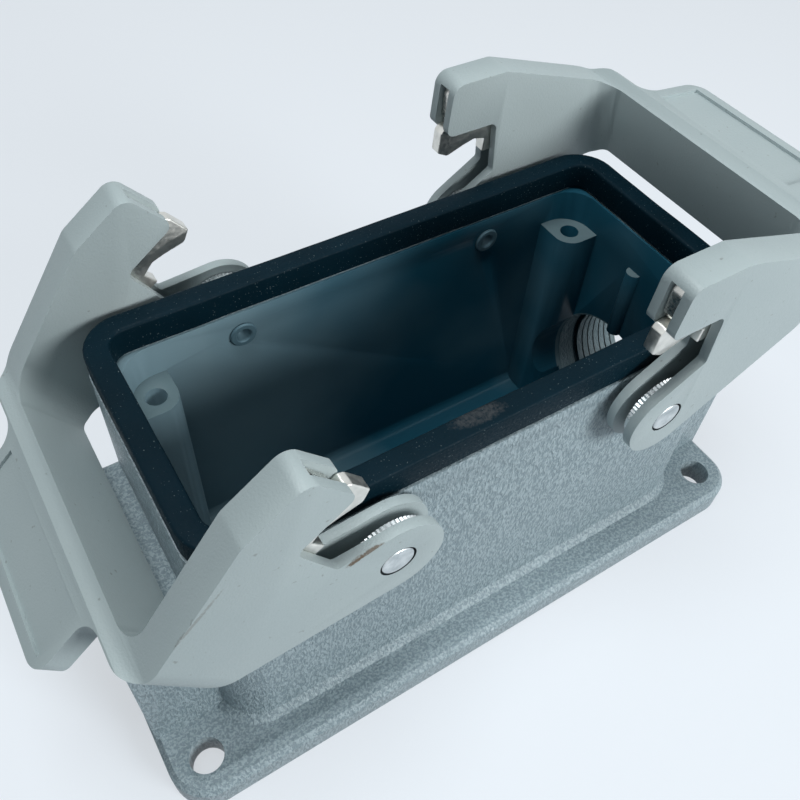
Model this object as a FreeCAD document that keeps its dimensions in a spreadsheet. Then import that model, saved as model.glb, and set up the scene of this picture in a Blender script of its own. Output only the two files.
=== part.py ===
import FreeCAD, Part
import Sketcher
import math
import os

# Surface-mount base housing of a heavy-duty rectangular connector, with two U-shaped locking levers.
# Frame: origin at the centre of the flange's underside, X along the housing, Z up, millimetres.
# The right lever (+X) is closed, the left lever (-X) is swung open.

doc = FreeCAD.newDocument("ConnectorHousing")
sheet = doc.addObject("Spreadsheet::Sheet", "Sizes")

# Driving dimensions: alias, value, what it is
driving_sizes = [
    ("flange_length", 117.0, "flange, end to end"),
    ("flange_width", 57.0, "flange, front to back"),
    ("flange_thickness", 5.5, "flange thickness"),
    ("flange_corner", 6.5, "flange corner radius"),
    ("flange_edge", 0.9, "chamfer of the flange's upper edge"),
    ("mount_hole_radius", 2.75, "flange screw hole radius"),
    ("mount_inset", 6.0, "flange screw's distance from the flange's edges"),
    ("foot_length", 94.0, "tub outside length at its foot"),
    ("foot_width", 44.2, "tub outside width at its foot"),
    ("tub_draft", 0.8, "draft of the tub's walls, degrees"),
    ("tub_corner", 6.9, "tub outside corner radius at its foot"),
    ("rim_height", 52.0, "rim of the tub above the underside"),
    ("foot_chamfer", 1.2, "chamfer between tub and flange"),
    ("cavity_length", 84.8, "tub inside length"),
    ("cavity_width", 35.2, "tub inside width"),
    ("cavity_corner", 5.0, "tub inside corner radius"),
    ("floor_height", 4.5, "tub floor above the underside"),
    ("floor_fillet", 2.0, "fillet round the tub's floor"),
    ("tongue_width", 1.2, "tongue on the rim, thickness"),
    ("tongue_height", 2.4, "tongue on the rim, height"),
    ("hub_reach", 58.2, "end hub's outer face at its foot, from the centre"),
    ("hub_draft", 0.4, "how much the hub leans in up to its top"),
    ("hub_width", 32.8, "end hub, front to back"),
    ("hub_height", 33.0, "end hub's top above the underside"),
    ("hub_edge", 1.6, "rounding of the hub's edges"),
    ("boss_spacing_x", 77.5, "insert screw spacing along X"),
    ("boss_spacing_y", 27.0, "insert screw spacing along Y"),
    ("boss_radius", 3.3, "corner boss, from its screw hole to its free sides"),
    ("boss_top", 46.2, "corner boss top above the underside"),
    ("boss_hole_radius", 1.65, "insert screw hole radius"),
    ("boss_hole_depth", 14.0, "insert screw hole depth"),
    ("boss_bite", 1.0, "how far a boss reaches into the wall behind it"),
    ("rib_radius", 1.4, "rib on the entry's end wall, radius"),
    ("rib_top", 45.5, "that rib's top above the underside"),
    ("entry_height", 18.7, "cable entry's axis above the underside"),
    ("entry_radius", 12.5, "cable entry, root radius of its M25 thread"),
    ("entry_mouth", 0.8, "chamfer at the entry's mouth"),
    ("gasket_height", 5.0, "gasket's top above the rim"),
    ("gasket_length", 92.4, "gasket outside length"),
    ("gasket_width", 42.5, "gasket outside width"),
    ("gasket_wall", 3.6, "gasket wall in plan"),
    ("gasket_seat_gap", 0.1, "gap between gasket and rim"),
    ("gasket_grip_gap", 0.3, "gap between gasket groove and tongue"),
    ("gasket_corner", 6.3, "gasket outside corner radius"),
    ("pin_spacing", 45.9, "distance between the two levers' axes"),
    ("pin_drop", 4.4, "lever axis below the rim"),
    ("pin_radius", 2.6, "pivot pin radius in the lever"),
    ("pin_neck_radius", 1.8, "pivot pin radius in the tub's wall"),
    ("pin_face", 27.65, "outer end of the pin, from the middle plane"),
    ("pin_flare_radius", 2.2, "flared inner end of the pin"),
    ("pin_flare_height", 0.5, "how far the flared end stands inside the wall"),
    ("pin_gap", 0.05, "running clearance round the pin"),
    ("hook_top", 27.8, "top of a lever's hook, above the pin axis"),
    ("hook_length", 3.3, "end of the hook's flat top, outward from the pin axis"),
    ("hook_front", 7.0, "front edge of the hook, inward from the pin axis"),
    ("hook_nose", 19.3, "underside of the hook's nose, above the pin axis"),
    ("notch_back", 2.75, "back wall of the hook's notch, outward from the pin axis"),
    ("leaf_slope", 32.0, "slope of the arm's edges beside the pin, degrees"),
    ("skirt_reach", 25.5, "outer end of the arm's lower edge, from the pin axis"),
    ("skirt_height", 7.8, "that end's height above the pin axis"),
    ("bar_low", 10.3, "crossbar's lower edge above the pin axis"),
    ("shoulder_drop", 0.9, "arm's shoulder below the crossbar's top"),
    ("slot_roof", 1.3, "wall over the slot at the hook's top"),
    ("slot_depth", 9.6, "bend in the slot's closed side, outward from the pin axis"),
    ("slot_bend", 14.0, "that bend's height above the pin axis"),
    ("arm_inner", 22.4, "inner face of a lever arm, from the middle plane"),
    ("arm_outer", 27.5, "outer face of a lever arm, from the middle plane"),
    ("slot_inner", 23.8, "inner side of the arm's slot, from the middle plane"),
    ("slot_outer", 26.0, "outer side of the arm's slot, from the middle plane"),
    ("slot_gap", 0.1, "gap between slot and what lies in it, each side"),
    ("lever_open_angle", 36.5, "how far the left lever is swung open"),
    ("pivot_end_radius", 6.8, "round end of an arm about its pin"),
    ("crossbar_inner", 26.85, "crossbar's inner wall, from the pin axis"),
    ("crossbar_wall", 2.5, "crossbar wall"),
    ("crossbar_lean", 4.5, "crossbar's lean from upright"),
    ("lever_inner_corner", 4.0, "inside corner radius of the U"),
    ("lever_outer_corner", 5.5, "outside corner radius of the U"),
    ("handle_reach", 39.9, "handle's outer edge, from the pin axis"),
    ("handle_half_width", 15.4, "half the handle's width"),
    ("handle_seat", 0.6, "start of the handle's fall, outward from the crossbar's inner wall"),
    ("handle_thickness", 3.8, "handle tab thickness"),
    ("handle_trim", 0.2, "how far the handle's trimmed outer face stands in from its reach"),
    ("handle_root_fillet", 3.0, "fillet between handle and crossbar, in plan"),
    ("handle_root_height", 21.4, "handle's top at its root, above the pin axis"),
    ("handle_fall", 6.5, "slope of the handle's top"),
    ("handle_corner", 3.0, "handle's corner radius"),
    ("panel_rim", 1.9, "rim round the handle's recessed panel"),
    ("panel_depth", 0.5, "depth of the recessed panel"),
    ("disc_radius", 5.6, "spacer disc radius over its teeth"),
    ("disc_tooth", 0.35, "depth of the disc's teeth"),
    ("disc_thickness", 1.2, "spacer disc thickness"),
    ("disc_room", 0.6, "room round the spacer disc in its slot"),
    ("finger_reach", 7.3, "lock plate's finger end, inward from the pin axis"),
    ("finger_low", 14.7, "underside of the finger, above the pin axis"),
    ("finger_bevel", 0.8, "bevel at the finger's upper corner"),
    ("seat_height", 16.35, "lock plate's edge over a seated peg, above the pin axis"),
    ("plate_top", 20.0, "lock plate's upper edge, above the pin axis"),
    ("plate_foot", 13.4, "lock plate's lower edge in the slot, above the pin axis"),
    ("plate_back", 7.5, "lock plate's back edge, outward from the pin axis"),
    ("plate_corner", 1.0, "lock plate's corner radius"),
    ("disc_press", 0.02, "clearance of the disc on the pin"),
    ("spring_thickness", 0.4, "leaf spring thickness"),
    ("spring_bend", 1.7, "leaf spring bend radius"),
    ("spring_setback", 1.1, "leaf spring's bend behind the hook's front edge"),
]
for row, (alias, value, meaning) in enumerate(driving_sizes, start=1):
    sheet.set(f"A{row}", meaning)
    sheet.set(f"B{row}", str(value))
    sheet.setAlias(f"B{row}", alias)
doc.recompute()


class Size:
    """A length: its formula over the sheet's cells, and its value."""

    def __init__(self, text, value):
        self.text = text
        self.value = value

    def join(self, sign, other, value):
        other_text = other.text if isinstance(other, Size) else repr(float(other))
        return Size(f"({self.text} {sign} {other_text})", value)

    def __add__(self, other):
        return self.join("+", other, self.value + number(other))

    def __sub__(self, other):
        return self.join("-", other, self.value - number(other))

    def __mul__(self, factor):
        return self.join("*", factor, self.value * number(factor))

    def __truediv__(self, factor):
        return self.join("/", factor, self.value / number(factor))

    def __neg__(self):
        return self * -1.0

    __radd__ = __add__
    __rmul__ = __mul__


def number(length):
    return length.value if isinstance(length, Size) else float(length)


def size(alias):
    return Size(f"Sizes.{alias}", float(sheet.get(alias)))


def fixed(value):
    """A coordinate of a free outline, not tied to another piece."""
    return Size(repr(float(value)), float(value))


def bind(feature, prop, length):
    feature.setExpression(prop, length.text)


def new_body(name):
    body = doc.addObject("PartDesign::Body", name)
    body.Label = name
    return body


def new_sketch(body, name, plane, offset=None, turn=None):
    """A sketch on one of the body's own origin planes, moved along the plane's normal by offset."""
    support = [item for item in body.Origin.OriginFeatures if item.Role == plane][0]
    sketch = body.newObject("Sketcher::SketchObject", name)
    sketch.AttachmentSupport = [(support, "")]
    sketch.MapMode = "FlatFace"
    if turn is not None:
        sketch.AttachmentOffset = FreeCAD.Placement(FreeCAD.Vector(), FreeCAD.Rotation(*turn))
    if offset is not None:
        bind(sketch, "AttachmentOffset.Base.z", offset)
    return sketch


def place_point(sketch, geometry, position, x, y):
    """Fix a point of the sketch by its two distances from the origin."""
    for kind, length in (("DistanceX", x), ("DistanceY", y)):
        index = sketch.addConstraint(Sketcher.Constraint(kind, -1, 1, geometry, position, length.value))
        bind(sketch, f"Constraints[{index}]", length)


def add_circle(sketch, x, y, radius):
    circle = Part.Circle(FreeCAD.Vector(x.value, y.value, 0), FreeCAD.Vector(0, 0, 1), radius.value)
    geometry = sketch.addGeometry(circle)
    place_point(sketch, geometry, 3, x, y)
    index = sketch.addConstraint(Sketcher.Constraint("Radius", geometry, radius.value))
    bind(sketch, f"Constraints[{index}]", radius)


def add_outline(sketch, corners):
    """A closed outline through (x, y, corner radius or None), its round corners as tangent arcs."""
    count = len(corners)
    places = [FreeCAD.Vector(x.value, y.value, 0) for x, y, radius in corners]
    starts, ends, arcs = [], [], {}
    for i, (x, y, radius) in enumerate(corners):
        back = (places[i - 1] - places[i]).normalize()
        ahead = (places[(i + 1) % count] - places[i]).normalize()
        if radius is None:
            starts.append(places[i])
            ends.append(places[i])
            continue
        half = back.getAngle(ahead) / 2
        reach = radius.value / math.tan(half)
        starts.append(places[i] + back * reach)
        ends.append(places[i] + ahead * reach)
        centre = places[i] + (back + ahead).normalize() * (radius.value / math.sin(half))
        left_turn = back.cross(ahead).z < 0
        first, last = (starts[i], ends[i]) if left_turn else (ends[i], starts[i])
        angles = [math.atan2((p - centre).y, (p - centre).x) for p in (first, last)]
        circle = Part.Circle(centre, FreeCAD.Vector(0, 0, 1), radius.value)
        arcs[i] = (Part.ArcOfCircle(circle, angles[0], angles[1]), 1 if left_turn else 2)
    lines = [sketch.addGeometry(Part.LineSegment(ends[i], starts[(i + 1) % count])) for i in range(count)]
    for i, (x, y, radius) in enumerate(corners):
        if radius is None:
            sketch.addConstraint(Sketcher.Constraint("Coincident", lines[i - 1], 2, lines[i], 1))
            place_point(sketch, lines[i], 1, x, y)
            continue
        arc, entry = arcs[i]
        curve = sketch.addGeometry(arc)
        corner = sketch.addGeometry(Part.Point(places[i]), True)
        sketch.addConstraint([
            Sketcher.Constraint("Tangent", lines[i - 1], 2, curve, entry),
            Sketcher.Constraint("Tangent", curve, 3 - entry, lines[i], 1),
            Sketcher.Constraint("PointOnObject", corner, 1, lines[i - 1]),
            Sketcher.Constraint("PointOnObject", corner, 1, lines[i]),
        ])
        index = sketch.addConstraint(Sketcher.Constraint("Radius", curve, radius.value))
        bind(sketch, f"Constraints[{index}]", radius)
        place_point(sketch, corner, 1, x, y)


def add_rectangle(sketch, half_x, half_y, radius, x=fixed(0), y=fixed(0)):
    """A rectangle about (x, y), its corners rounded."""
    add_outline(sketch, [(x - half_x, y - half_y, radius), (x + half_x, y - half_y, radius),
                         (x + half_x, y + half_y, radius), (x - half_x, y + half_y, radius)])


def extrude(body, kind, name, sketch, length, side="One side", reverse=False):
    """A Pad or Pocket of the sketch."""
    feature = body.newObject(f"PartDesign::{kind}", name)
    feature.Profile = sketch
    feature.SideType = side
    feature.Reversed = reverse
    bind(feature, "Length", length)
    sketch.Visibility = False
    body.Tip = feature
    doc.recompute()
    return feature


def revolve(body, kind, name, sketch, axis):
    """A full turn of the sketch about one of its own axes."""
    feature = body.newObject(f"PartDesign::{kind}", name)
    feature.Profile = sketch
    feature.ReferenceAxis = (sketch, [axis])
    feature.Angle = 360.0
    body.Tip = feature
    doc.recompute()
    return feature


def round_edges(body, kind, name, prop, length, wanted):
    """A Fillet or Chamfer on those edges of the body's last feature for which wanted(edge) is true."""
    base = body.Tip
    names = [f"Edge{i}" for i, edge in enumerate(base.Shape.Edges, start=1) if wanted(edge)]
    feature = body.newObject(f"PartDesign::{kind}", name)
    feature.Base = (base, names)
    bind(feature, prop, length)
    body.Tip = feature
    doc.recompute()
    return feature


def draft_walls(body, wanted):
    """A draft, from the underside up, on those faces of the last feature for which wanted(face) is true."""
    base = body.Tip
    names = [f"Face{i}" for i, face in enumerate(base.Shape.Faces, start=1) if wanted(face)]
    underside = [item for item in body.Origin.OriginFeatures if item.Role == "XY_Plane"][0]
    feature = body.newObject("PartDesign::Draft", "WallDraft")
    feature.Base = (base, names)
    feature.NeutralPlane = (underside, [""])
    bind(feature, "Angle", size("tub_draft"))
    body.Tip = feature
    doc.recompute()
    return feature


def at_height(edge, height):
    """True for an edge that lies level at the height."""
    box = edge.BoundBox
    return abs(box.ZMin - height) < tiny and abs(box.ZMax - height) < tiny


tiny = 1e-4
zero = fixed(0)


def drawn_in(height):
    """How far the tub's drafted wall stands inside its foot at the height."""
    draft = size("tub_draft")
    return Size(f"({height.text} * tan({draft.text} * 1 deg))",
                height.value * math.tan(math.radians(draft.value)))


disc_teeth = 24

# Lines that several pieces share
rim_half_x = size("foot_length") / 2 - drawn_in(size("rim_height"))
rim_half_y = size("foot_width") / 2 - drawn_in(size("rim_height"))
rim_corner = size("tub_corner") - drawn_in(size("rim_height"))
pin_height = size("rim_height") - size("pin_drop")
wall_outer_at_pin = size("foot_width") / 2 - drawn_in(pin_height)
pin_x = size("pin_spacing") / 2
slot_middle = (size("slot_inner") + size("slot_outer")) / 2
insert_thickness = size("slot_outer") - size("slot_inner") - size("slot_gap") * 2


def make_housing():
    """Die-cast tub with flange, end hubs, corner bosses, rim tongue and one tapped cable entry."""
    body = new_body("housing")
    # Flange with its four screw holes
    sketch = new_sketch(body, "FlangeOutline", "XY_Plane")
    add_rectangle(sketch, size("flange_length") / 2, size("flange_width") / 2, size("flange_corner"))
    mount_x = size("flange_length") / 2 - size("mount_inset")
    mount_y = size("flange_width") / 2 - size("mount_inset")
    for side_x in (-1, 1):
        for side_y in (-1, 1):
            add_circle(sketch, mount_x * side_x, mount_y * side_y, size("mount_hole_radius"))
    extrude(body, "Pad", "Flange", sketch, size("flange_thickness"))
    flange_top = size("flange_thickness").value
    round_edges(body, "Chamfer", "FlangeEdge", "Size", size("flange_edge"),
                lambda edge: at_height(edge, flange_top) and not edge.isClosed())
    # Tub with drafted walls
    sketch = new_sketch(body, "TubOutline", "XY_Plane")
    add_rectangle(sketch, size("foot_length") / 2, size("foot_width") / 2, size("tub_corner"))
    extrude(body, "Pad", "Tub", sketch, size("rim_height"))
    rim = size("rim_height").value
    draft_walls(body, lambda face: abs(face.BoundBox.ZMin - flange_top) < tiny
                and abs(face.BoundBox.ZMax - rim) < tiny)
    # Hubs for the cable entries, one block through both ends
    reach = size("hub_reach")
    top = reach - size("hub_draft")
    sketch = new_sketch(body, "HubSide", "XZ_Plane")
    add_outline(sketch, [(-reach, zero, None), (reach, zero, None), (top, size("hub_height"), None),
                         (-top, size("hub_height"), None)])
    extrude(body, "Pad", "Hubs", sketch, size("hub_width"), side="Symmetric")
    foot_half = size("foot_length").value / 2
    hub_top = size("hub_height").value

    def is_hub_edge(edge):
        box = edge.BoundBox
        beyond_tub = min(abs(box.XMin), abs(box.XMax)) > foot_half - 1 and abs(box.Center.x) > foot_half
        upright = box.ZMin > flange_top - tiny and box.ZLength > 5
        return beyond_tub and (upright or at_height(edge, hub_top)) and abs(box.Center.x) > foot_half + 2

    round_edges(body, "Fillet", "HubRounding", "Radius", size("hub_edge"), is_hub_edge)
    # Chamfer where the tub's walls stand on the flange, from hub to hub
    wall_foot = size("foot_width").value / 2
    wall_start = wall_foot - size("tub_corner").value
    round_edges(body, "Chamfer", "FootChamfer", "Size", size("foot_chamfer"),
                lambda edge: at_height(edge, flange_top) and not edge.isClosed()
                and edge.BoundBox.YMin * edge.BoundBox.YMax > 0
                and wall_start < abs(edge.BoundBox.Center.y) < wall_foot + tiny
                and abs(edge.BoundBox.Center.x) < foot_half)
    # Hollow of the tub, rounded into its floor
    sketch = new_sketch(body, "CavityOutline", "XY_Plane", size("rim_height"))
    add_rectangle(sketch, size("cavity_length") / 2, size("cavity_width") / 2, size("cavity_corner"))
    extrude(body, "Pocket", "Cavity", sketch, size("rim_height") - size("floor_height"))
    floor = size("floor_height").value
    round_edges(body, "Fillet", "FloorRounding", "Radius", size("floor_fillet"),
                lambda edge: at_height(edge, floor))
    # Corner bosses that carry the insert's screws
    boss_x = size("boss_spacing_x") / 2
    boss_y = size("boss_spacing_y") / 2
    sketch = new_sketch(body, "BossOutline", "XY_Plane", size("floor_height"))
    radius = size("boss_radius")
    into_x = size("cavity_length") / 2 + size("boss_bite")
    into_y = size("cavity_width") / 2 + size("boss_bite")
    for side_x in (-1, 1):
        for side_y in (-1, 1):
            left, right = (boss_x - radius) * side_x, into_x * side_x
            near, far = (boss_y - radius) * side_y, into_y * side_y
            add_outline(sketch, [(left, near, radius), (right, near, None), (right, far, None),
                                 (left, far, None)])
    extrude(body, "Pad", "Bosses", sketch, size("boss_top") - size("floor_height"))
    sketch = new_sketch(body, "RibOutline", "XY_Plane", size("floor_height"))
    add_circle(sketch, size("cavity_length") / 2, zero, size("rib_radius"))
    extrude(body, "Pad", "EarthRib", sketch, size("rib_top") - size("floor_height"))
    # Screw holes in the bosses
    sketch = new_sketch(body, "BossHoles", "XY_Plane", size("boss_top"))
    for side_x in (-1, 1):
        for side_y in (-1, 1):
            add_circle(sketch, boss_x * side_x, boss_y * side_y, size("boss_hole_radius"))
    extrude(body, "Pocket", "InsertScrewHoles", sketch, size("boss_hole_depth"))
    # Tongue on the rim, which the gasket grips
    middle_x = rim_half_x - size("gasket_wall") / 2
    middle_y = rim_half_y - size("gasket_wall") / 2
    half_tongue = size("tongue_width") / 2
    tongue_corner = rim_corner - size("gasket_wall") / 2
    root = size("tongue_height")
    sketch = new_sketch(body, "TongueOutline", "XY_Plane", size("rim_height") - root)
    add_rectangle(sketch, middle_x + half_tongue, middle_y + half_tongue, tongue_corner + half_tongue)
    add_rectangle(sketch, middle_x - half_tongue, middle_y - half_tongue, tongue_corner - half_tongue)
    extrude(body, "Pad", "Tongue", sketch, size("tongue_height") + root)
    # Holes for the four pivot pins
    sketch = new_sketch(body, "PinHoles", "XZ_Plane")
    for side in (-1, 1):
        add_circle(sketch, pin_x * side, pin_height, size("pin_neck_radius") + size("pin_gap"))
    extrude(body, "Pocket", "PinBores", sketch, size("flange_width"), side="Symmetric")
    # Cable entry in the right hub, chamfered at its mouth
    sketch = new_sketch(body, "EntryProfile", "XZ_Plane")
    bind(sketch, "AttachmentOffset.Base.y", size("entry_height"))
    start = boss_x - size("boss_radius") * 1.5
    far = size("hub_reach") * 1.05
    bore = size("entry_radius")
    mouth = size("hub_reach") - size("hub_draft") * size("entry_height") / size("hub_height")
    chamfer = size("entry_mouth")
    add_outline(sketch, [
        (start, zero, None), (far, zero, None), (far, bore + chamfer, None),
        (mouth, bore + chamfer, None), (mouth - chamfer, bore, None), (start, bore, None)])
    revolve(body, "Groove", "CableEntry", sketch, "H_Axis")
    return body


def make_gasket():
    """Rubber ring on the rim of the tub, with a groove over the rim's tongue."""
    body = new_body("gasket")
    half_x = size("gasket_length") / 2
    half_y = size("gasket_width") / 2
    wall = size("gasket_wall")
    corner = size("gasket_corner")
    bottom = size("rim_height") + size("gasket_seat_gap")
    sketch = new_sketch(body, "RingOutline", "XY_Plane", bottom)
    add_rectangle(sketch, half_x, half_y, corner)
    add_rectangle(sketch, half_x - wall, half_y - wall, size("cavity_corner"))
    extrude(body, "Pad", "Ring", sketch, size("gasket_height") - size("gasket_seat_gap"))
    middle_x = rim_half_x - wall / 2
    middle_y = rim_half_y - wall / 2
    half_groove = size("tongue_width") / 2 + size("gasket_grip_gap")
    middle_corner = rim_corner - wall / 2
    sketch = new_sketch(body, "GrooveOutline", "XY_Plane", bottom)
    add_rectangle(sketch, middle_x + half_groove, middle_y + half_groove, middle_corner + half_groove)
    add_rectangle(sketch, middle_x - half_groove, middle_y - half_groove, middle_corner - half_groove)
    depth = size("tongue_height") + size("gasket_grip_gap") - size("gasket_seat_gap")
    extrude(body, "Pocket", "GripGroove", sketch, depth, reverse=True)
    return body


def lever_frame(side):
    """Where a lever's own frame lies: X outward from the housing, Z up, origin on its pin axis."""
    turn = FreeCAD.Rotation(FreeCAD.Vector(0, 0, 1), 0)
    if side < 0:
        open_turn = FreeCAD.Rotation(FreeCAD.Vector(0, 1, 0), size("lever_open_angle").value)
        turn = FreeCAD.Rotation(FreeCAD.Vector(0, 0, 1), 180).multiply(open_turn)
    return turn


def place_on_lever(body, side, y=zero):
    """Carry a piece modelled in the lever's own frame to its place."""
    body.Placement = FreeCAD.Placement(FreeCAD.Vector(), lever_frame(side))
    bind(body, "Placement.Base.x", pin_x * side)
    bind(body, "Placement.Base.y", y)
    bind(body, "Placement.Base.z", pin_height)


def make_lever(name, side):
    """Moulded U lever: two slotted hook arms, a thin crossbar and a handle tab with a sunk panel."""
    body = new_body(name)
    end = size("pivot_end_radius")
    bar_out = size("crossbar_inner") + size("crossbar_wall")
    root_height = size("handle_root_height")
    hook_top = size("hook_top")
    front = -size("hook_front")
    nose = size("hook_nose")
    back = size("notch_back")
    hook_end = size("hook_length")
    inner = size("crossbar_inner")
    reach = size("handle_reach")
    half = size("handle_half_width")
    lean = math.radians(size("crossbar_lean").value)
    fall = math.tan(math.radians(size("handle_fall").value))
    root = inner + size("handle_seat")
    tab_root = root_height - (bar_out - root) * fall
    tab_end = root_height - (reach - root) * fall
    thick = size("handle_thickness")
    # The crossbar's outer face, leaning in from its lower edge up to the handle
    bar_low = size("bar_low")
    face_low = bar_out / math.cos(lean) - bar_low * math.tan(lean)
    face_high = bar_out / math.cos(lean) - (tab_root - thick) * math.tan(lean)
    # The arm narrows to two edges that run tangent to its round end
    slope = math.radians(size("leaf_slope").value)
    across, along = end * math.sin(slope), end * math.cos(slope)
    notch_foot = back * 1.2
    foot_height = end / math.cos(slope) + notch_foot * math.tan(slope)
    # Side outline in the closed pose: hook, notch, round pivot end, skirt, crossbar, handle, shoulder
    sketch = new_sketch(body, "ArmOutline", "XZ_Plane")
    add_outline(sketch, [
        (front * 0.91, hook_top, end * 0.3),
        (front * 1.01, nose, end * 0.2),
        (back * 0.95, nose, end * 0.2),
        (notch_foot, foot_height, end * 0.1),
        (-across - along, along - across, end * 0.99),
        (across - along, -along - across, end * 0.99),
        (size("skirt_reach"), size("skirt_height"), end * 0.2),
        (inner * 1.015, bar_low, None),
        (face_low, bar_low, None),
        (face_high, tab_root - thick, None),
        (reach, tab_end - thick, None),
        (reach, tab_end, None),
        (root, root_height, None),
        (size("skirt_reach"), root_height - size("shoulder_drop"), end * 0.3),
        (hook_end, hook_top, end * 0.43),
    ])
    extrude(body, "Pad", "SideForm", sketch, size("arm_outer") * 2, side="Symmetric")
    # Plan form, square to the leaning crossbar: everything outside the U and its handle is taken away
    sketch = new_sketch(body, "PlanForm", "XY_Plane", turn=(FreeCAD.Vector(0, 1, 0),
                                                            -size("crossbar_lean").value))
    behind = -reach
    beyond = reach * 2
    outer = size("arm_outer")
    corner = size("lever_outer_corner")
    tip = reach * math.cos(lean) + tab_end * math.sin(lean) - size("handle_trim")
    root_fillet = size("handle_root_fillet")
    tab_corner = size("handle_corner")
    add_rectangle(sketch, beyond, beyond, None)
    add_outline(sketch, [
        (behind, -outer, None), (bar_out, -outer, corner),
        (bar_out, -half, root_fillet), (tip, -half, tab_corner),
        (tip, half, tab_corner), (bar_out, half, root_fillet),
        (bar_out, outer, corner), (behind, outer, None),
        (behind, size("arm_inner"), None), (inner, size("arm_inner"), size("lever_inner_corner")),
        (inner, -size("arm_inner"), size("lever_inner_corner")), (behind, -size("arm_inner"), None)])
    extrude(body, "Pocket", "PlanCut", sketch, beyond * 2, side="Symmetric")
    # Sunk panel on the handle, square to its sloping top
    sketch = new_sketch(body, "PanelOutline", "XY_Plane", turn=(FreeCAD.Vector(0, 1, 0),
                                                                size("handle_fall").value))
    bind(sketch, "AttachmentOffset.Base.x", root)
    bind(sketch, "AttachmentOffset.Base.z", root_height)
    rim = size("panel_rim")
    along = reach - root
    add_outline(sketch, [
        (rim, -half + rim, None), (along - rim, -half + rim, None),
        (along - rim, half - rim, None), (rim, half - rim, None)])
    extrude(body, "Pocket", "Panel", sketch, size("panel_depth"))
    # Slot in each arm for the lock plate, its spring and the spacer disc
    room = size("disc_radius") + size("disc_room")
    slot_top = hook_top - size("slot_roof")
    for arm in (-1, 1):
        sketch = new_sketch(body, "SlotOutline", "XZ_Plane",
                            slot_middle * -arm + (size("slot_outer") - size("slot_inner")) / -2)
        add_outline(sketch, [
            (behind, slot_top, None), (behind, behind, None), (back, behind, None), (back, -room, None),
            (room * 1.15, zero, None), (size("slot_depth"), size("slot_bend"), None),
            (hook_end * 1.2, slot_top, None)])
        extrude(body, "Pocket", "ArmSlot", sketch, size("slot_outer") - size("slot_inner"), reverse=True)
    # Holes for the pivot pins
    sketch = new_sketch(body, "PinHole", "XZ_Plane")
    add_circle(sketch, zero, zero, size("pin_radius") + size("pin_gap"))
    extrude(body, "Pocket", "PinBore", sketch, size("flange_width"), side="Symmetric")
    place_on_lever(body, side)
    return body


def make_lock_plate(name, side, face):
    """Steel hook plate in the arm's slot: square finger, seat for the mating peg, body in the slot."""
    body = new_body(name)
    tip = size("finger_reach")
    low = size("finger_low")
    seat = size("seat_height")
    top = size("plate_top")
    foot = size("plate_foot")
    back = size("plate_back")
    corner = size("plate_corner")
    slope = (low + seat * 2) / 3
    sketch = new_sketch(body, "PlateOutline", "XZ_Plane")
    add_outline(sketch, [
        (tip * -0.9, top, None),
        (tip * -0.97, top - size("finger_bevel"), None),
        (-tip, low + corner, corner * 0.4),
        (tip * -0.75, low, corner),
        (tip * -0.33, slope, corner * 2),
        (tip * -0.05, seat, corner),
        (tip * 0.25, slope, None),
        (tip * 0.22, foot, None),
        (back, foot, None),
        (back, top * 0.9, None),
        (back * 0.7, top, None),
    ])
    extrude(body, "Pad", "Plate", sketch, insert_thickness, side="Symmetric")
    place_on_lever(body, side, slot_middle * face)
    return body


def make_leaf_spring(name, side, face):
    """Hairpin of spring strip between the arm's peak and the lock plate."""
    body = new_body(name)
    thick = size("spring_thickness")
    bend = size("spring_bend")
    left = size("spring_setback") - size("hook_front")
    right = size("notch_back")
    low = size("plate_top") + size("slot_gap")
    high = size("hook_top") - size("slot_roof") - size("slot_gap") * 2
    sketch = new_sketch(body, "HairpinOutline", "XZ_Plane")
    add_outline(sketch, [
        (right, high, None), (left, high, bend), (left, low, bend), (right - bend, low, None),
        (right - bend, low + thick, None), (left + thick, low + thick, bend - thick),
        (left + thick, high - thick, bend - thick), (right, high - thick, None)])
    extrude(body, "Pad", "Hairpin", sketch, insert_thickness - size("slot_gap") * 2, side="Symmetric")
    place_on_lever(body, side, slot_middle * face)
    return body


def place_on_pin(body, side, face):
    """Turn a piece made about its own Z axis so that Z points outwards along the pin."""
    body.Placement = FreeCAD.Placement(FreeCAD.Vector(),
                                       FreeCAD.Rotation(FreeCAD.Vector(1, 0, 0), -90 * face))
    bind(body, "Placement.Base.x", pin_x * side)
    bind(body, "Placement.Base.z", pin_height)


def make_pivot_pin(name, side, face):
    """Stepped rivet: shank in the lever, neck through the tub's wall, flared end inside."""
    body = new_body(name)
    radius = size("pin_radius")
    neck = size("pin_neck_radius")
    flare = size("pin_flare_radius")
    shoulder = wall_outer_at_pin + size("pin_gap")
    inside = size("cavity_width") / 2
    tail = inside - size("pin_flare_height")
    rest = inside - size("pin_gap")
    sketch = new_sketch(body, "PinProfile", "XZ_Plane")
    add_outline(sketch, [
        (zero, size("pin_face"), None), (zero, tail, None), (flare, tail, None), (flare, rest, None),
        (neck, rest, None), (neck, shoulder, None), (radius, shoulder, None),
        (radius, size("pin_face"), None)])
    revolve(body, "Revolution", "Pin", sketch, "V_Axis")
    place_on_pin(body, side, face)
    return body


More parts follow.
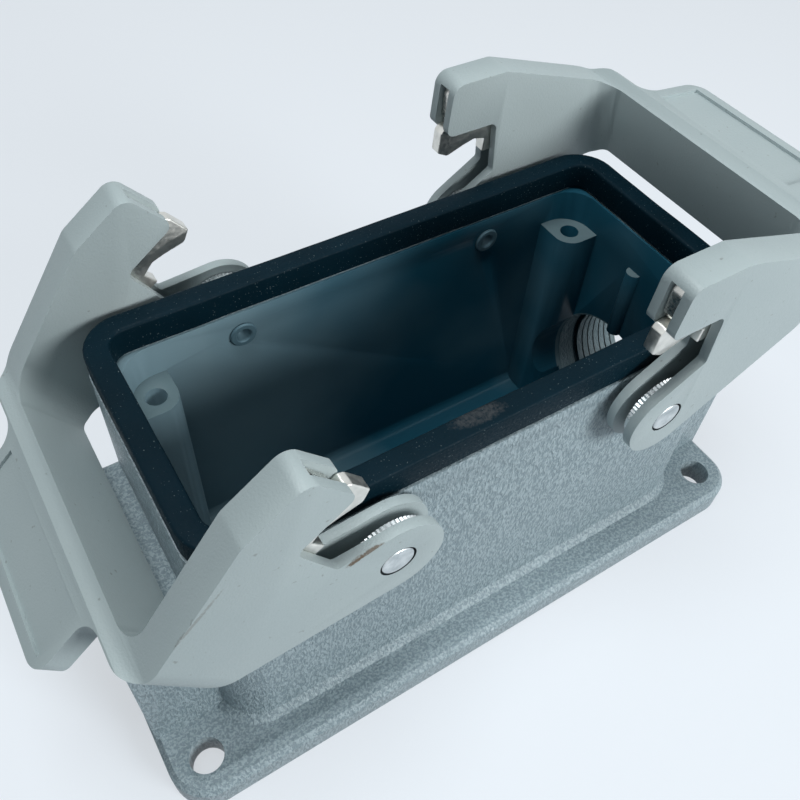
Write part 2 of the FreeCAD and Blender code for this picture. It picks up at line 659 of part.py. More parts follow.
def make_spacer_disc(name, side, face):
    """Thin toothed steel disc pressed on the pin against the outer cheek of the arm."""
    body = new_body(name)
    thick = size("disc_thickness")
    bottom = size("slot_outer") - size("slot_gap") - thick
    sketch = new_sketch(body, "DiscOutline", "XY_Plane", bottom)
    outline = []
    for step in range(disc_teeth * 2):
        angle = math.pi * step / disc_teeth
        radius = size("disc_radius") - size("disc_tooth") * (step % 2)
        outline.append((radius * math.cos(angle), radius * math.sin(angle), None))
    add_outline(sketch, outline)
    add_circle(sketch, zero, zero, size("pin_radius") + size("disc_press"))
    extrude(body, "Pad", "Disc", sketch, thick)
    place_on_pin(body, side, face)
    return body


pieces = [make_housing(), make_gasket()]
for side_name, side in (("left", -1), ("right", 1)):
    pieces.append(make_lever(f"lever_{side_name}", side))
    for face_name, face in (("front", -1), ("rear", 1)):
        place = f"{side_name}_{face_name}"
        pieces.append(make_lock_plate(f"lock_plate_{place}", side, face))
        pieces.append(make_leaf_spring(f"leaf_spring_{place}", side, face))
        pieces.append(make_pivot_pin(f"pivot_pin_{place}", side, face))
        pieces.append(make_spacer_disc(f"spacer_disc_{place}", side, face))

doc.recompute()
for item in doc.Objects:
    if "Invalid" in item.State or "Error" in item.State:
        raise RuntimeError(f"{item.Name} ({item.Label}) failed: {item.State}")
for piece in pieces:
    shape = piece.Shape
    if shape.isNull() or not shape.isValid() or len(shape.Solids) != 1:
        raise RuntimeError(f"{piece.Label} is not one valid solid")
    box = shape.BoundBox
    print(f"{piece.Label}: {shape.Volume:.1f} mm3, x {box.XMin:.2f} to {box.XMax:.2f}, "
          f"y {box.YMin:.2f} to {box.YMax:.2f}, z {box.ZMin:.2f} to {box.ZMax:.2f}")

os.makedirs("parts", exist_ok=True)
for piece in pieces:
    piece.Shape.exportStep(f"parts/{piece.Label}.step")
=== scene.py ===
import math

import bpy
import bmesh
from mathutils import Matrix, Vector


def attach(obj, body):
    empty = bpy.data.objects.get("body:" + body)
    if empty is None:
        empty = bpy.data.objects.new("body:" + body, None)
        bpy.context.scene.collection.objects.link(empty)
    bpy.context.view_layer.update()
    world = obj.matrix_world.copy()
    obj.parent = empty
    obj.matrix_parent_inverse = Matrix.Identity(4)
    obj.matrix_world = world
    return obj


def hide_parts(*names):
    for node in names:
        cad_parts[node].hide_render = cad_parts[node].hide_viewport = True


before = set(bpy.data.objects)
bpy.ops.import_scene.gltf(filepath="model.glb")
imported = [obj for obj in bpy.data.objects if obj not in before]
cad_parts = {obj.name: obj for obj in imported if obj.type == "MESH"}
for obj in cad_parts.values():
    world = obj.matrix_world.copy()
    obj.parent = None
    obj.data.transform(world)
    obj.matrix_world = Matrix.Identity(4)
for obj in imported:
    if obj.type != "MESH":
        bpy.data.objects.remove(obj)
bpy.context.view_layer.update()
mm = 0.001
sides = {"left": -1, "right": 1}
faces = {"front": -1, "rear": 1}


# where the levers' pins stand, the edge of the bores they turn in, and how far the painted shade in the bores
# reaches
pinAxis = {"spacingMm": 45.9, "heightMm": 47.6}
boreEdge = {"reachMm": 2.9, "share": 0.15, "gapShadeMm": 2.68}

# where the values of a noise texture mostly lie, and how much of a soft spot is its full core
noiseSpan = {"From Min": 0.3, "From Max": 0.7}
spotCore = 0.3


# helpers for node trees

def linearColour(hexCode):
    # sRGB hex to linear RGBA
    parts = [int(hexCode[i:i + 2], 16) / 255 for i in (0, 2, 4)]
    linear = [p / 12.92 if p <= 0.04045 else ((p + 0.055) / 1.055) ** 2.4 for p in parts]
    return (*linear, 1.0)


def addNode(tree, kind, settings=None, inputs=None):
    # one node with its settings, and its inputs given as output sockets or plain values
    node = tree.nodes.new(kind)
    for key, value in (settings or {}).items():
        setattr(node, key, value)
    for key, value in (inputs or {}).items():
        if isinstance(value, bpy.types.NodeSocket):
            tree.links.new(value, node.inputs[key])
        else:
            node.inputs[key].default_value = value
    return node


def newMaterial(name, settings):
    # a material with its plain settings on the shader's own sockets, and its object coordinates
    material = bpy.data.materials.new(name)
    material.use_nodes = True
    tree = material.node_tree
    shader = tree.nodes["Principled BSDF"]
    for socketName, value in settings.items():
        shader.inputs[socketName].default_value = value
    position = addNode(tree, "ShaderNodeTexCoord").outputs["Object"]
    return material, tree, shader, position


def perMm(size):
    # noise scale for blotches about size millimetres wide
    return 1 / (size * mm)


def insideBox(tree, position, low, high, soft):
    # 1 inside a box given in millimetres, 0 outside, with a soft border
    parts = addNode(tree, "ShaderNodeSeparateXYZ", {}, {0: position}).outputs
    mask = None
    for axis in range(3):
        rise = addNode(tree, "ShaderNodeMapRange", {}, {
            "Value": parts[axis], "From Min": (low[axis] - soft) * mm, "From Max": (low[axis] + soft) * mm})
        fall = addNode(tree, "ShaderNodeMapRange", {}, {
            "Value": parts[axis], "From Min": (high[axis] + soft) * mm, "From Max": (high[axis] - soft) * mm})
        both = addNode(tree, "ShaderNodeMath", {"operation": "MULTIPLY"}, {
            0: rise.outputs[0], 1: fall.outputs[0]})
        if mask is not None:
            both = addNode(tree, "ShaderNodeMath", {"operation": "MULTIPLY"}, {0: mask, 1: both.outputs[0]})
        mask = both.outputs[0]
    return mask


def softSpot(tree, position, spot):
    # 1 in the core of an ellipsoid given in millimetres, fading to 0 at its border
    local = addNode(tree, "ShaderNodeMapping", {"vector_type": "TEXTURE"}, {
        "Vector": position, "Location": Vector(spot["placeMm"]) * mm,
        "Rotation": [math.radians(a) for a in spot["turnDeg"]], "Scale": Vector(spot["halfMm"]) * mm})
    distance = addNode(tree, "ShaderNodeVectorMath", {"operation": "LENGTH"}, {0: local.outputs[0]})
    fade = addNode(tree, "ShaderNodeMapRange", {"interpolation_type": "SMOOTHSTEP"}, {
        "Value": distance.outputs["Value"], "From Min": 1.0, "From Max": spotCore})
    return fade.outputs[0]


# camera at the photo's viewing angle

cameraPlace = {
    "eyeMm": (-52.94, -67.52, 140.19),
    "right": (0.8472, -0.52915, 0.04751),
    "down": (-0.3844, -0.67225, -0.63271),
    "forward": (0.36674, 0.51777, -0.77293),
    "lensMm": 37.224,
    "sensorMm": 36.0,
    "nearM": 0.005,
}
cameraData = bpy.data.cameras.new("camera")
cameraData.lens = cameraPlace["lensMm"]
cameraData.sensor_width = cameraPlace["sensorMm"]
cameraData.clip_start = cameraPlace["nearM"]
camera = bpy.data.objects.new("camera", cameraData)
bpy.context.collection.objects.link(camera)
right, down, forward = (Vector(cameraPlace[k]) for k in ("right", "down", "forward"))
turn = Matrix((right, -down, -forward)).transposed().to_4x4()
camera.matrix_world = Matrix.Translation(Vector(cameraPlace["eyeMm"]) * mm) @ turn
bpy.context.scene.camera = camera
print("camera placed")


# housing: die-cast aluminium under a wrinkled grey powder coat, which gives a rough surface with a fine
# sparkle outside; inside the coat is thin and smooth, coloured darker with painted shade and paler towards
# the left with painted light

housingFinish = {
    # outer coat: ridges partly painted highlight, hollows partly painted shade
    "ridgeToneAndHighlight": "A0AFB5", "hollowToneAndShade": "7E8E95",
    # painted light and shade inside: pale towards the left end, deep dark teal towards the right
    "innerLitPale": "6F868F", "innerShadeDeep": "1B4A5C", "litFromMm": -36.0, "shadeFromMm": 12.0, "cloudShare": 0.2,
    "paleTopColour": "5E7075", "groove": "0E2A34", "land": "66797F",
    "ridgeFrom": 0.4, "ridgeFull": 0.62, "levelFrom": 0.6, "levelFull": 0.95,
    "grainFrom": 0.35, "grainTo": 0.65, "outerRough": (0.3, 0.5), "innerRough": (0.3, 0.4),
    "outerGloss": 0.45, "innerGloss": 0.12, "wrinkleRough": 0.55, "wrinkleTwist": 0.6,
    "wrinkleMm": 0.42, "wrinkleStretch": (1.0, 1.0, 0.4), "grainMm": 0.2, "blotchMm": 24.0, "castMm": 2.2,
    "wrinkleHigh": 0.42, "flatShare": 0.4, "grainHigh": 0.04, "castHigh": 0.03,
    "insideLow": (-42.9, -18.0, 3.0), "insideHigh": (42.9, 18.0, 52.6), "insideSoft": 0.15,
    "paleTopLow": (-42.9, -18.0, 44.8), "paleTopHigh": (42.9, 18.0, 46.6), "maskSoft": 0.1,
    "boreLow": (41.9, -13.0, 5.0), "boreHigh": (60.0, 13.0, 32.0), "boreAxisMm": (0.0, 0.0, 18.7),
    "landRadiusMm": 11.75, "grooveRadiusMm": 12.0, "boreRadiusMm": 12.75, "threadFromMm": 46.6,
}


def makeHousingPaint(name):
    finish = housingFinish
    material, tree, shader, position = newMaterial(name, {"IOR": 1.5})
    inside = insideBox(tree, position, finish["insideLow"], finish["insideHigh"], finish["insideSoft"])
    stretched = addNode(tree, "ShaderNodeMapping", {}, {
        "Vector": position, "Scale": finish["wrinkleStretch"]})
    wrinkle = addNode(tree, "ShaderNodeTexNoise", {}, {
        "Vector": stretched.outputs[0], "Scale": perMm(finish["wrinkleMm"]), "Detail": 2.0,
        "Roughness": finish["wrinkleRough"], "Distortion": finish["wrinkleTwist"]}).outputs["Fac"]
    grain = addNode(tree, "ShaderNodeTexNoise", {}, {
        "Vector": position, "Scale": perMm(finish["grainMm"]), "Detail": 1.0}).outputs["Fac"]
    blotch = addNode(tree, "ShaderNodeTexNoise", {}, {
        "Vector": position, "Scale": perMm(finish["blotchMm"]), "Detail": 2.0}).outputs["Fac"]
    cast = addNode(tree, "ShaderNodeTexNoise", {}, {
        "Vector": position, "Scale": perMm(finish["castMm"]), "Detail": 2.0}).outputs["Fac"]
    # the wrinkle's ridges are coloured lighter and its hollows darker: partly the coat's own tone, partly
    # painted highlight on the ridges and painted shade in the hollows
    ridges = addNode(tree, "ShaderNodeMapRange", {"interpolation_type": "SMOOTHSTEP"}, {
        "Value": wrinkle, "From Min": finish["ridgeFrom"], "From Max": finish["ridgeFull"]}).outputs[0]
    outer = addNode(tree, "ShaderNodeMix", {"data_type": "RGBA"}, {
        0: ridges, 6: linearColour(finish["hollowToneAndShade"]), 7: linearColour(finish["ridgeToneAndHighlight"])}).outputs[2]
    # painted light and shade inside: the coat is coloured paler towards the left end, where light falls, and
    # deep dark teal towards the right, where shade lies, in soft clouds
    along = addNode(tree, "ShaderNodeSeparateXYZ", {}, {0: position}).outputs["X"]
    along = addNode(tree, "ShaderNodeMapRange", {"interpolation_type": "SMOOTHSTEP"}, {
        "Value": along, "From Min": finish["litFromMm"] * mm,
        "From Max": finish["shadeFromMm"] * mm}).outputs[0]
    cloudShift = addNode(tree, "ShaderNodeMapRange", {}, {
        "Value": blotch, **noiseSpan,
        "To Min": -finish["cloudShare"], "To Max": finish["cloudShare"]}).outputs[0]
    along = addNode(tree, "ShaderNodeMath", {"operation": "ADD", "use_clamp": True}, {
        0: along, 1: cloudShift}).outputs[0]
    inner = addNode(tree, "ShaderNodeMix", {"data_type": "RGBA"}, {
        0: along, 6: linearColour(finish["innerLitPale"]), 7: linearColour(finish["innerShadeDeep"])}).outputs[2]
    colour = addNode(tree, "ShaderNodeMix", {"data_type": "RGBA"}, {0: inside, 6: outer, 7: inner}).outputs[2]
    # the screw bosses' and the rib's up-facing tops are coloured paler
    tops = insideBox(tree, position, finish["paleTopLow"], finish["paleTopHigh"], finish["maskSoft"])
    normal = addNode(tree, "ShaderNodeNewGeometry").outputs["Normal"]
    upward = addNode(tree, "ShaderNodeSeparateXYZ", {}, {0: normal}).outputs["Z"]
    level = addNode(tree, "ShaderNodeMapRange", {}, {
        "Value": upward, "From Min": finish["levelFrom"], "From Max": finish["levelFull"]})
    paleTops = addNode(tree, "ShaderNodeMath", {"operation": "MULTIPLY"}, {
        0: tops, 1: level.outputs[0]}).outputs[0]
    colour = addNode(tree, "ShaderNodeMix", {"data_type": "RGBA"}, {
        0: paleTops, 6: colour, 7: linearColour(finish["paleTopColour"])}).outputs[2]
    # the cable entry is bored bare, and painted shade colours its thread's grooves dark
    bored = insideBox(tree, position, finish["boreLow"], finish["boreHigh"], finish["maskSoft"])
    across = addNode(tree, "ShaderNodeVectorMath", {"operation": "SUBTRACT"}, {
        0: position, 1: Vector(finish["boreAxisMm"]) * mm}).outputs[0]
    across = addNode(tree, "ShaderNodeVectorMath", {"operation": "MULTIPLY"}, {
        0: across, 1: (0.0, 1.0, 1.0)}).outputs[0]
    radius = addNode(tree, "ShaderNodeVectorMath", {"operation": "LENGTH"}, {0: across}).outputs["Value"]
    within = addNode(tree, "ShaderNodeMath", {"operation": "LESS_THAN"}, {
        0: radius, 1: finish["boreRadiusMm"] * mm}).outputs[0]
    bored = addNode(tree, "ShaderNodeMath", {"operation": "MULTIPLY"}, {0: bored, 1: within}).outputs[0]
    deep = addNode(tree, "ShaderNodeMapRange", {}, {
        "Value": radius, "From Min": finish["landRadiusMm"] * mm, "From Max": finish["grooveRadiusMm"] * mm})
    threaded = addNode(tree, "ShaderNodeSeparateXYZ", {}, {0: position}).outputs["X"]
    threaded = addNode(tree, "ShaderNodeMath", {"operation": "GREATER_THAN"}, {
        0: threaded, 1: finish["threadFromMm"] * mm}).outputs[0]
    deep = addNode(tree, "ShaderNodeMath", {"operation": "MULTIPLY"}, {0: deep.outputs[0], 1: threaded})
    cut = addNode(tree, "ShaderNodeMix", {"data_type": "RGBA"}, {
        0: deep.outputs[0], 6: linearColour(finish["land"]), 7: linearColour(finish["groove"])}).outputs[2]
    colour = addNode(tree, "ShaderNodeMix", {"data_type": "RGBA"}, {0: bored, 6: colour, 7: cut}).outputs[2]
    tree.links.new(colour, shader.inputs["Base Color"])
    gloss = addNode(tree, "ShaderNodeMapRange", {}, {
        "Value": inside, "To Min": finish["outerGloss"], "To Max": finish["innerGloss"]})
    tree.links.new(gloss.outputs[0], shader.inputs["Specular IOR Level"])
    # outside the gloss changes from grain to grain, the smooth inside has a soft even gloss
    outerRough = addNode(tree, "ShaderNodeMapRange", {}, {
        "Value": grain, "From Min": finish["grainFrom"], "From Max": finish["grainTo"],
        "To Min": finish["outerRough"][0], "To Max": finish["outerRough"][1]}).outputs[0]
    innerRough = addNode(tree, "ShaderNodeMapRange", {}, {
        "Value": cast, **noiseSpan,
        "To Min": finish["innerRough"][0], "To Max": finish["innerRough"][1]}).outputs[0]
    rough = addNode(tree, "ShaderNodeMix", {"data_type": "FLOAT"}, {0: inside, 2: outerRough, 3: innerRough})
    tree.links.new(rough.outputs[0], shader.inputs["Roughness"])
    # heights in millimetres; the wrinkle is drawn out down the walls and shallower on faces that look up
    steep = addNode(tree, "ShaderNodeMapRange", {}, {
        "Value": upward, "To Min": 1.0, "To Max": finish["flatShare"]})
    ripple = addNode(tree, "ShaderNodeMath", {"operation": "MULTIPLY"}, {
        0: wrinkle, 1: steep.outputs[0]}).outputs[0]
    coarse = addNode(tree, "ShaderNodeMath", {"operation": "MULTIPLY"}, {0: ripple, 1: finish["wrinkleHigh"]})
    outerHeight = addNode(tree, "ShaderNodeMath", {"operation": "MULTIPLY_ADD"}, {
        0: grain, 1: finish["grainHigh"], 2: coarse.outputs[0]}).outputs[0]
    innerHeight = addNode(tree, "ShaderNodeMath", {"operation": "MULTIPLY"}, {
        0: cast, 1: finish["castHigh"]}).outputs[0]
    height = addNode(tree, "ShaderNodeMix", {"data_type": "FLOAT"}, {
        0: inside, 2: outerHeight, 3: innerHeight})
    bump = addNode(tree, "ShaderNodeBump", {}, {"Height": height.outputs[0], "Strength": 1.0, "Distance": mm})
    tree.links.new(bump.outputs[0], shader.inputs["Normal"])
    return material


# levers: glass-filled thermoplastic from a spark-eroded mould, matt light grey with a fine sand texture;
# the left lever's front cheek carries a brown smear beside the slot

leverFinish = {
    "light": "ABB6B7", "dark": "A3AFB1", "speck": "5E5A52", "smear": "57442F", "bore": "20292D",
    "sandMm": 0.3, "cloudMm": 12.0, "speckMm": 0.9, "sandHigh": 0.035, "rough": (0.45, 0.58),
    "speckFrom": 0.74, "speckFull": 0.8, "speckShare": 0.4,
    "smearFrom": 0.16, "smearFull": 0.46, "smearShare": 0.85,
    "smears": [
        {"placeMm": (-27.6, -27.5, 53.85), "halfMm": (4.4, 0.6, 0.5), "turnDeg": (0, -14, 0)},
        {"placeMm": (-29.2, -27.5, 53.5), "halfMm": (2.0, 0.6, 0.8), "turnDeg": (0, -16, 0)},
        {"placeMm": (-48.2, -27.5, 58.6), "halfMm": (7.7, 0.6, 0.4), "turnDeg": (0, -47, 0), "share": 0.35},
        {"placeMm": (46.2, 20.6, 69.0), "halfMm": (0.9, 1.6, 0.8), "turnDeg": (0, 0, 0)},
        {"placeMm": (44.9, -21.2, 69.0), "halfMm": (0.8, 1.4, 0.8), "turnDeg": (0, 0, 0)},
    ],
}


def makeLeverPlastic(name):
    finish = leverFinish
    material, tree, shader, position = newMaterial(name, {"IOR": 1.5})
    sand = addNode(tree, "ShaderNodeTexNoise", {}, {
        "Vector": position, "Scale": perMm(finish["sandMm"]), "Detail": 1.5}).outputs["Fac"]
    cloud = addNode(tree, "ShaderNodeTexNoise", {}, {
        "Vector": position, "Scale": perMm(finish["cloudMm"]), "Detail": 2.0}).outputs["Fac"]
    dust = addNode(tree, "ShaderNodeTexNoise", {}, {
        "Vector": position, "Scale": perMm(finish["speckMm"]), "Detail": 1.0}).outputs["Fac"]
    base = addNode(tree, "ShaderNodeMix", {"data_type": "RGBA"}, {
        0: cloud, 6: linearColour(finish["dark"]), 7: linearColour(finish["light"])}).outputs[2]
    specks = addNode(tree, "ShaderNodeMapRange", {}, {
        "Value": dust, "From Min": finish["speckFrom"], "From Max": finish["speckFull"],
        "To Max": finish["speckShare"]}).outputs[0]
    colour = addNode(tree, "ShaderNodeMix", {"data_type": "RGBA"}, {
        0: specks, 6: base, 7: linearColour(finish["speck"])}).outputs[2]
    # painted shade: the narrow gap in a pin bore is coloured dark, as shade lies in it
    across = addNode(tree, "ShaderNodeVectorMath", {"operation": "ABSOLUTE"}, {0: position}).outputs[0]
    across = addNode(tree, "ShaderNodeVectorMath", {"operation": "SUBTRACT"}, {
        0: across, 1: Vector((pinAxis["spacingMm"] / 2, 0.0, pinAxis["heightMm"])) * mm}).outputs[0]
    across = addNode(tree, "ShaderNodeVectorMath", {"operation": "MULTIPLY"}, {
        0: across, 1: (1.0, 0.0, 1.0)}).outputs[0]
    across = addNode(tree, "ShaderNodeVectorMath", {"operation": "LENGTH"}, {0: across}).outputs["Value"]
    bored = addNode(tree, "ShaderNodeMath", {"operation": "LESS_THAN"}, {
        0: across, 1: boreEdge["gapShadeMm"] * mm}).outputs[0]
    colour = addNode(tree, "ShaderNodeMix", {"data_type": "RGBA"}, {
        0: bored, 6: colour, 7: linearColour(finish["bore"])}).outputs[2]
    for spot in finish["smears"]:
        mask = softSpot(tree, position, spot)
        broken = addNode(tree, "ShaderNodeMath", {"operation": "MULTIPLY"}, {0: mask, 1: sand}).outputs[0]
        stain = addNode(tree, "ShaderNodeMapRange", {}, {
            "Value": broken, "From Min": finish["smearFrom"], "From Max": finish["smearFull"],
            "To Max": spot.get("share", finish["smearShare"])}).outputs[0]
        colour = addNode(tree, "ShaderNodeMix", {"data_type": "RGBA"}, {
            0: stain, 6: colour, 7: linearColour(finish["smear"])}).outputs[2]
    tree.links.new(colour, shader.inputs["Base Color"])
    rough = addNode(tree, "ShaderNodeMapRange", {}, {
        "Value": sand, **noiseSpan, "To Min": finish["rough"][0], "To Max": finish["rough"][1]})
    tree.links.new(rough.outputs[0], shader.inputs["Roughness"])
    bump = addNode(tree, "ShaderNodeBump", {}, {
        "Height": sand, "Strength": 1.0, "Distance": finish["sandHigh"] * mm})
    tree.links.new(bump.outputs[0], shader.inputs["Normal"])
    return material


# gasket: moulded nitrile rubber, near black and dull, with pale dust and a brown-grey scuff on the front
# run

gasketFinish = {
    "light": "06202B", "dark": "03151D", "dust": "8C9C9F", "scuff": "494B4D",
    "fineMm": 0.4, "cloudMm": 8.0, "dustMm": 0.22, "fineHigh": 0.03, "rough": (0.4, 0.65), "gloss": 0.06,
    "dustFrom": 0.79, "dustFull": 0.83, "dustShare": 0.35,
    "scuffFrom": 0.25, "scuffFull": 0.6, "scuffShare": 0.6,
    "scuffSpot": {"placeMm": (-6.0, -18.9, 57.0), "halfMm": (7.0, 2.4, 1.6), "turnDeg": (0, 0, -4)},
}


def makeGasketRubber(name):
    finish = gasketFinish
    material, tree, shader, position = newMaterial(name, {"IOR": 1.52, "Specular IOR Level": finish["gloss"]})
    fine = addNode(tree, "ShaderNodeTexNoise", {}, {
        "Vector": position, "Scale": perMm(finish["fineMm"]), "Detail": 3.0}).outputs["Fac"]
    cloud = addNode(tree, "ShaderNodeTexNoise", {}, {
        "Vector": position, "Scale": perMm(finish["cloudMm"]), "Detail": 2.0}).outputs["Fac"]
    grains = addNode(tree, "ShaderNodeTexNoise", {}, {
        "Vector": position, "Scale": perMm(finish["dustMm"]), "Detail": 0.0}).outputs["Fac"]
    base = addNode(tree, "ShaderNodeMix", {"data_type": "RGBA"}, {
        0: cloud, 6: linearColour(finish["dark"]), 7: linearColour(finish["light"])}).outputs[2]
    dust = addNode(tree, "ShaderNodeMapRange", {}, {
        "Value": grains, "From Min": finish["dustFrom"], "From Max": finish["dustFull"],
        "To Max": finish["dustShare"]}).outputs[0]
    colour = addNode(tree, "ShaderNodeMix", {"data_type": "RGBA"}, {
        0: dust, 6: base, 7: linearColour(finish["dust"])}).outputs[2]
    rubbed = addNode(tree, "ShaderNodeMath", {"operation": "MULTIPLY"}, {
        0: softSpot(tree, position, finish["scuffSpot"]), 1: fine}).outputs[0]
    patch = addNode(tree, "ShaderNodeMapRange", {}, {
        "Value": rubbed, "From Min": finish["scuffFrom"], "From Max": finish["scuffFull"],
        "To Max": finish["scuffShare"]}).outputs[0]
    colour = addNode(tree, "ShaderNodeMix", {"data_type": "RGBA"}, {
        0: patch, 6: colour, 7: linearColour(finish["scuff"])}).outputs[2]
    tree.links.new(colour, shader.inputs["Base Color"])
    rough = addNode(tree, "ShaderNodeMapRange", {}, {
        "Value": fine, **noiseSpan, "To Min": finish["rough"][0], "To Max": finish["rough"][1]})
    tree.links.new(rough.outputs[0], shader.inputs["Roughness"])
    bump = addNode(tree, "ShaderNodeBump", {}, {
        "Height": fine, "Strength": 1.0, "Distance": finish["fineHigh"] * mm})
    tree.links.new(bump.outputs[0], shader.inputs["Normal"])
    return material


# steel: zinc-plated or plain strip, stamped or turned, bright with a cloudy plating and fine scratches

steelFinishes = {
    "zinc-plated stamped steel": {
        "light": "E6E5DF", "dark": "CFCFC9", "rough": (0.3, 0.42), "scratchMm": 0.5},
    "plain spring steel": {
        "light": "DADAD5", "dark": "BBBBB6", "rough": (0.22, 0.32), "scratchMm": 0.5},
    "zinc-plated turned steel": {
        "light": "D6DBDC", "dark": "A9B2B5", "rough": (0.34, 0.5), "scratchMm": 0.5},
    "zinc-plated toothed steel": {
        "light": "EDF0F0", "dark": "C9D0D2", "rough": (0.3, 0.42), "scratchMm": 0.4},
}
steelForm = {
    "cloudMm": 1.6, "scratchHigh": 0.002, "dull": "4A6570",
    "dullLow": (-40, -20, 40), "dullHigh": (40, 20, 55), "dullSoft": 0.3, "dullRough": 0.6,
    "dullMetallic": 0.3,
    # painted shade on a pin's side, seen as a dark ring round its face
    "side": "10181C", "sideLow": (-40, -27.33, 40), "sideHigh": (40, 27.33, 55), "sideSoft": 0.03,
}


def makeSteel(name, shadedSide):
    finish = steelFinishes[name]
    material, tree, shader, position = newMaterial(name, {"Metallic": 1.0})
    cloud = addNode(tree, "ShaderNodeTexNoise", {}, {
        "Vector": position, "Scale": perMm(steelForm["cloudMm"]), "Detail": 3.0}).outputs["Fac"]
    scratch = addNode(tree, "ShaderNodeTexNoise", {}, {
        "Vector": position, "Scale": perMm(finish["scratchMm"]), "Detail": 2.0}).outputs["Fac"]
    blend = addNode(tree, "ShaderNodeMapRange", {}, {"Value": cloud, **noiseSpan}).outputs[0]
    colour = addNode(tree, "ShaderNodeMix", {"data_type": "RGBA"}, {
        0: blend, 6: linearColour(finish["dark"]), 7: linearColour(finish["light"])}).outputs[2]
    rough = addNode(tree, "ShaderNodeMapRange", {}, {
        "Value": scratch, **noiseSpan,
        "To Min": finish["rough"][0], "To Max": finish["rough"][1]}).outputs[0]
    # a rivet's end inside the housing looks dull and dark
    dulled = insideBox(tree, position, steelForm["dullLow"], steelForm["dullHigh"], steelForm["dullSoft"])
    colour = addNode(tree, "ShaderNodeMix", {"data_type": "RGBA"}, {
        0: dulled, 6: colour, 7: linearColour(steelForm["dull"])}).outputs[2]
    rough = addNode(tree, "ShaderNodeMix", {"data_type": "FLOAT"}, {
        0: dulled, 2: rough, 3: steelForm["dullRough"]}).outputs[0]
    metallic = addNode(tree, "ShaderNodeMapRange", {}, {
        "Value": dulled, "To Min": 1.0, "To Max": steelForm["dullMetallic"]}).outputs[0]
    if shadedSide:
        # painted shade: a pin's side is coloured dark, and shows as a thin ring of shade round its face
        side = insideBox(tree, position, steelForm["sideLow"], steelForm["sideHigh"], steelForm["sideSoft"])
        side = addNode(tree, "ShaderNodeMath", {"operation": "SUBTRACT", "use_clamp": True}, {
            0: side, 1: dulled}).outputs[0]
        colour = addNode(tree, "ShaderNodeMix", {"data_type": "RGBA"}, {
            0: side, 6: colour, 7: linearColour(steelForm["side"])}).outputs[2]
    tree.links.new(colour, shader.inputs["Base Color"])
    tree.links.new(rough, shader.inputs["Roughness"])
    tree.links.new(metallic, shader.inputs["Metallic"])
    bump = addNode(tree, "ShaderNodeBump", {}, {
        "Height": scratch, "Strength": 1.0, "Distance": steelForm["scratchHigh"] * mm})
    tree.links.new(bump.outputs[0], shader.inputs["Normal"])
    return material


housingPaint = makeHousingPaint("wrinkle powder coat on die-cast aluminium")
leverPlastic = makeLeverPlastic("glass-filled thermoplastic, sand texture")
gasketRubber = makeGasketRubber("nitrile rubber")
plateSteel, springSteel, pinSteel, discSteel = (makeSteel(name, "turned" in name) for name in steelFinishes)
print("materials made")


# rigid pieces: a merged copy of a CAD solid with softly broken edges, in its place

edges = {
    # edge width in mm, segments, least angle in degrees
    "housing": (0.35, 2, 28),
    "lever": (0.45, 3, 28),
    "lock_plate": (0.22, 2, 28),
}
# points this near are merged, and edges this flat are dissolved, before the bevel
cleaning = {"mergeMm": 0.002, "flatDeg": 0.5}


def edgeShare(edge):
    # a narrow edge round a lever's pin bore, the whole width elsewhere
    for vert in edge.verts:
        across = math.hypot(abs(vert.co.x) / mm - pinAxis["spacingMm"] / 2,
                            vert.co.z / mm - pinAxis["heightMm"])
        if across > boreEdge["reachMm"]:
            return 1.0
    return boreEdge["share"]


def addPiece(name, mesh, material):
    mesh.materials.clear()
    mesh.materials.append(material)
    piece = bpy.data.objects.new(name, mesh)
    bpy.context.collection.objects.link(piece)
    return piece


def softenedCopy(nodeName, kind, material, body):
    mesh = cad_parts[nodeName].data.copy()
    work = bmesh.new()
    work.from_mesh(mesh)
    bmesh.ops.remove_doubles(work, verts=work.verts, dist=cleaning["mergeMm"] * mm)
    bmesh.ops.dissolve_limit(work, angle_limit=math.radians(cleaning["flatDeg"]),
                             verts=work.verts, edges=work.edges)
    width, segments, leastAngle = edges[kind]
    weight = work.edges.layers.float.new("bevel_weight_edge")
    for edge in work.edges:
        if len(edge.link_faces) == 2 and edge.calc_face_angle(0) > math.radians(leastAngle):
            edge[weight] = edgeShare(edge) if kind == "lever" else 1.0
    for face in work.faces:
        face.smooth = True
    work.to_mesh(mesh)
    work.free()
    piece = addPiece(nodeName + "_finished", mesh, material)
    bevel = piece.modifiers.new("edge", "BEVEL")
    bevel.width = width * mm
    bevel.segments = segments
    bevel.limit_method = "WEIGHT"
    bevel.harden_normals = True
    bevel.use_clamp_overlap = True
    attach(piece, body)
    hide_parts(nodeName)


softenedCopy("housing", "housing", housingPaint, "base")
for sideName in sides:
    lever = sideName + "_lever"
    softenedCopy("lever_" + sideName, "lever", leverPlastic, lever)
    for faceName in faces:
        place = sideName + "_" + faceName
        softenedCopy("lock_plate_" + place, "lock_plate", plateSteel, lever)
        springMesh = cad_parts["leaf_spring_" + place].data
        springMesh.materials.clear()
        springMesh.materials.append(springSteel)
print("castings, mouldings and plates finished")


# pivot pins: turned rivets, their outer ends bevelled, their inner ends flared round a punched hollow

pinForm = {
    "outerEndMm": 27.5, "shankMm": 2.38, "bevelMm": 0.1,
    "shoulderMm": 21.55, "neckMm": 1.78, "wallInsideMm": 17.55, "flareMm": 2.2, "tailMm": 17.1,
    "lipMm": 0.2, "hollowMm": 1.15, "hollowDeepMm": 2.2, "hollowFloorShare": 0.8,
    "segments": 40, "mergeMm": 0.001, "smoothBelow": 0.3,
}


